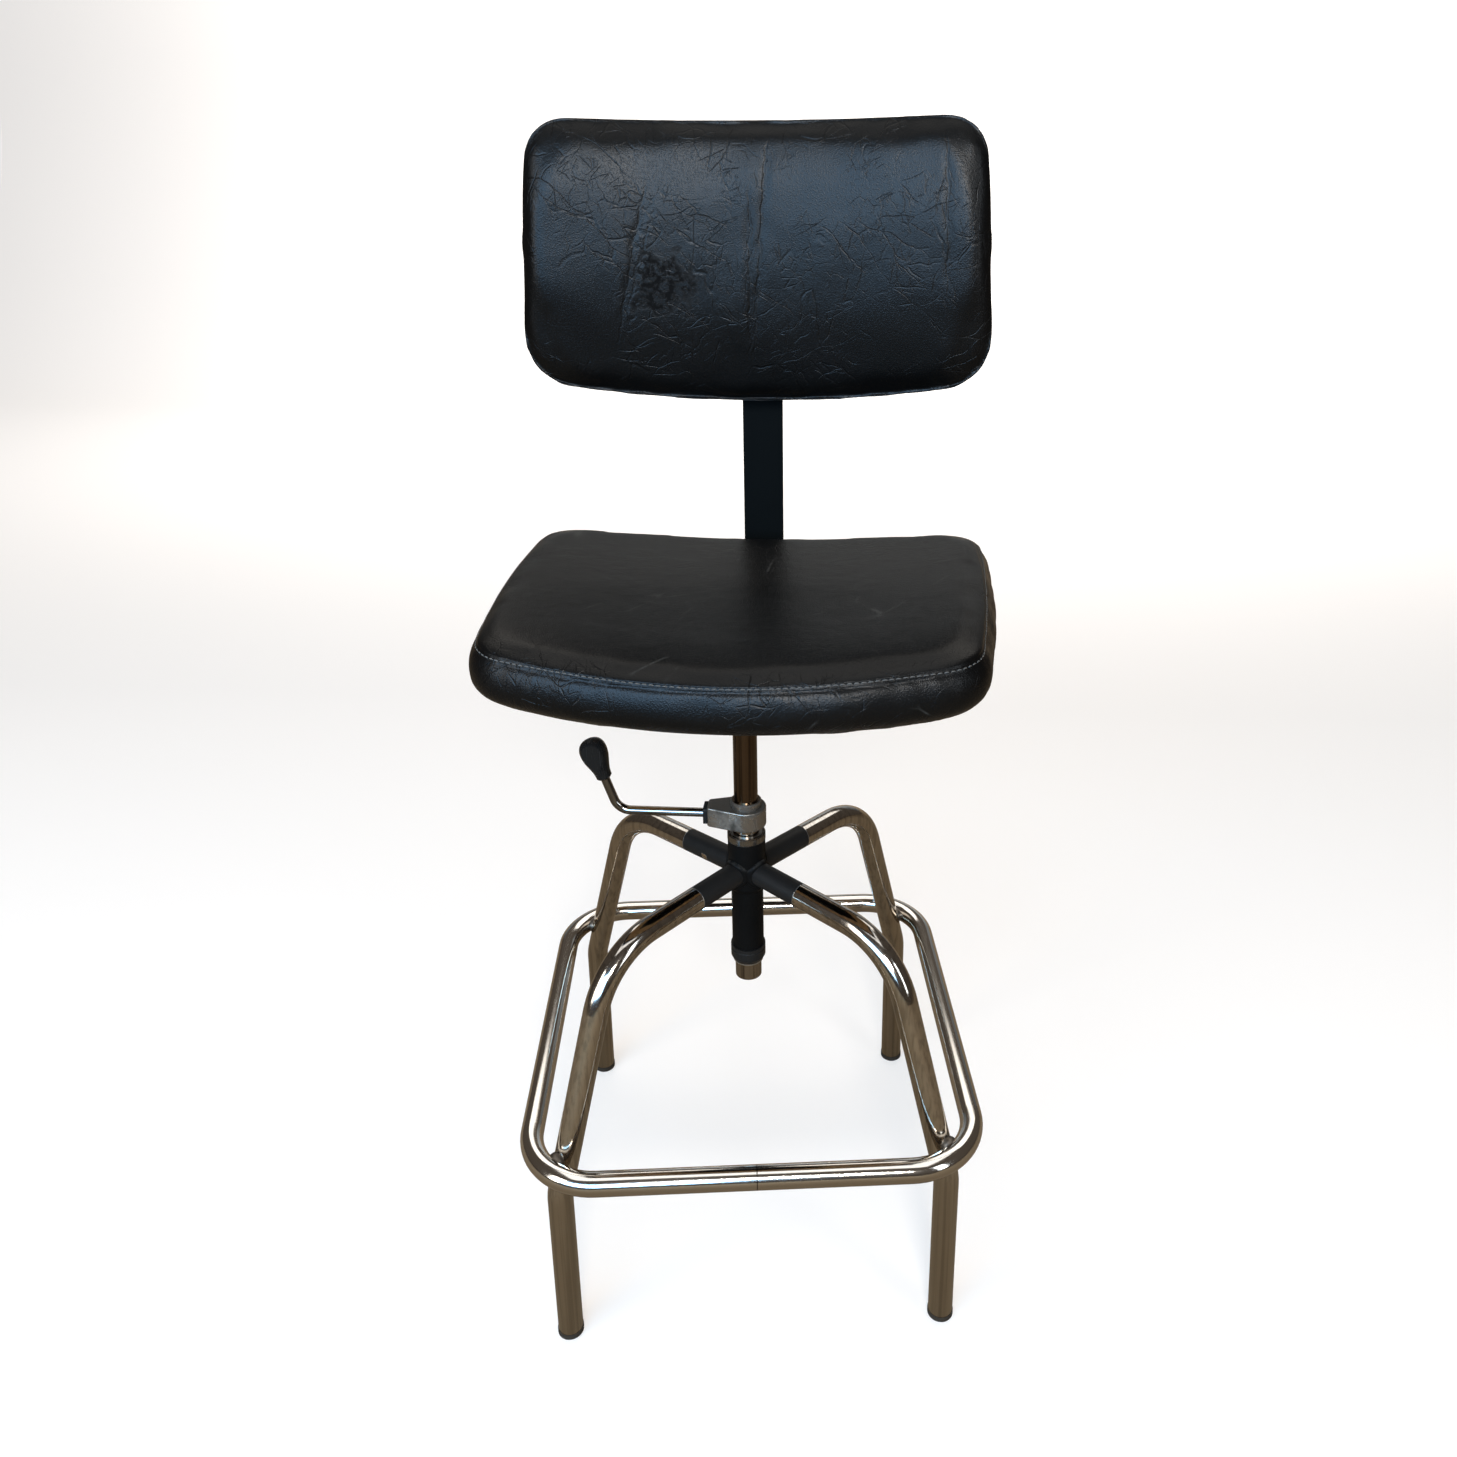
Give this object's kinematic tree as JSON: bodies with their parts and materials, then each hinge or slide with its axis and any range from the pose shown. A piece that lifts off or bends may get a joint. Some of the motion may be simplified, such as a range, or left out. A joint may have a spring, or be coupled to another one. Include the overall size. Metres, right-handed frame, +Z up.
{
  "type": "drafting chair",
  "caption": "Drafting chair: tubular base with foot ring, swivelling clamped column, padded saddle seat and padded backrest on a flat steel post.",
  "frame": {"origin": "middle of the chair's footprint on the floor, a little behind the column's axis", "axes": "+Z up, the sitter faces -Y, +X to the right as seen from the front"},
  "size_m": [0.441, 0.4637, 1.0285],
  "materials": {
    "chrome": "bright chromed steel tube",
    "hub_paint": "satin black paint",
    "post_paint": "matt black paint",
    "weld": "dull weld metal",
    "glide": "black rubber",
    "collar": "black plastic",
    "bush": "natural nylon",
    "cup": "bright chrome",
    "sleeve": "chromed tube, dulled",
    "steel": "zinc plated steel",
    "casting": "dull sand casting",
    "washer": "black fibre",
    "pad": "turned brass",
    "lever": "bright chromed rod",
    "grip": "black plastic",
    "column": "chromed tube",
    "plywood": "moulded plywood",
    "seat_cover": "black leatherette",
    "back_cover": "black leatherette",
    "knob": "black plastic",
    "shell": "covered plywood shell"
  },
  "bodies": {
    "base": {"hub_tube": "hub_paint", "leg_rear_right": "chrome", "leg_rear_left": "chrome", "leg_front_left": "chrome", "leg_front_right": "chrome", "foot_ring": "chrome", "ring_welds": "weld", "glides": "glide", "lower_bush": "collar", "hub_collar": "collar", "upper_bush": "bush", "bearing_cup": "cup", "thrust_race": "steel", "thrust_washer": "bush"},
    "swivel": {"guide_sleeve": "sleeve", "sleeve_shoulder": "steel", "retaining_clip": "steel", "clamp_body": "casting", "clamp_washer": "washer", "pressure_pad": "pad"},
    "lever": {"lever_rod": "lever", "lever_grip": "grip"},
    "seat": {"column_tube": "column", "column_plug": "collar", "seat_socket": "post_paint", "seat_plate": "post_paint", "seat_pan": "plywood", "seat_cushion": "seat_cover", "seat_bolts": "steel", "post_channel": "post_paint", "channel_nut": "steel"},
    "depth_clamp": {"depth_screw": "steel", "depth_knob": "knob"},
    "post": {"back_post": "post_paint"},
    "carriage": {"back_carriage": "post_paint", "carriage_nut": "steel", "tilt_pin": "steel"},
    "height_clamp": {"height_screw": "steel", "height_knob": "knob"},
    "backrest": {"back_shell": "shell", "back_cushion": "back_cover", "back_bracket": "post_paint", "back_screws": "steel"}
  },
  "joints": [
    {"name": "seat_swivel", "type": "hinge", "parent": "base", "child": "swivel", "pos_m": [0, -0.0145, 0.4], "axis": [0, 0, 1], "continuous": true},
    {"name": "clamp_lever", "type": "hinge", "parent": "swivel", "child": "lever", "pos_m": [-0.05, -0.0145, 0.4225], "axis": [1, 0, 0], "range_deg": [-90, 15]},
    {"name": "seat_height", "type": "slide", "parent": "swivel", "child": "seat", "axis": [0, 0, 1], "range_m": [-0.045, 0.085]},
    {"name": "depth_screw_turn", "type": "hinge", "parent": "seat", "child": "depth_clamp", "pos_m": [0, 0.0695, 0.55], "axis": [0, 0, 1], "range_deg": [-360, 0]},
    {"name": "back_depth", "type": "slide", "parent": "seat", "child": "post", "axis": [0, 1, 0], "range_m": [-0.008, 0.03]},
    {"name": "back_height", "type": "slide", "parent": "post", "child": "carriage", "axis": [0, 0, 1], "range_m": [-0.05, 0.04]},
    {"name": "height_screw_turn", "type": "hinge", "parent": "carriage", "child": "height_clamp", "pos_m": [0, 0.2155, 0.906], "axis": [0, 1, 0], "range_deg": [0, 360]},
    {"name": "back_tilt", "type": "hinge", "parent": "carriage", "child": "backrest", "pos_m": [0, 0.1875, 0.906], "axis": [1, 0, 0], "range_deg": [-10, 10]}
  ]
}
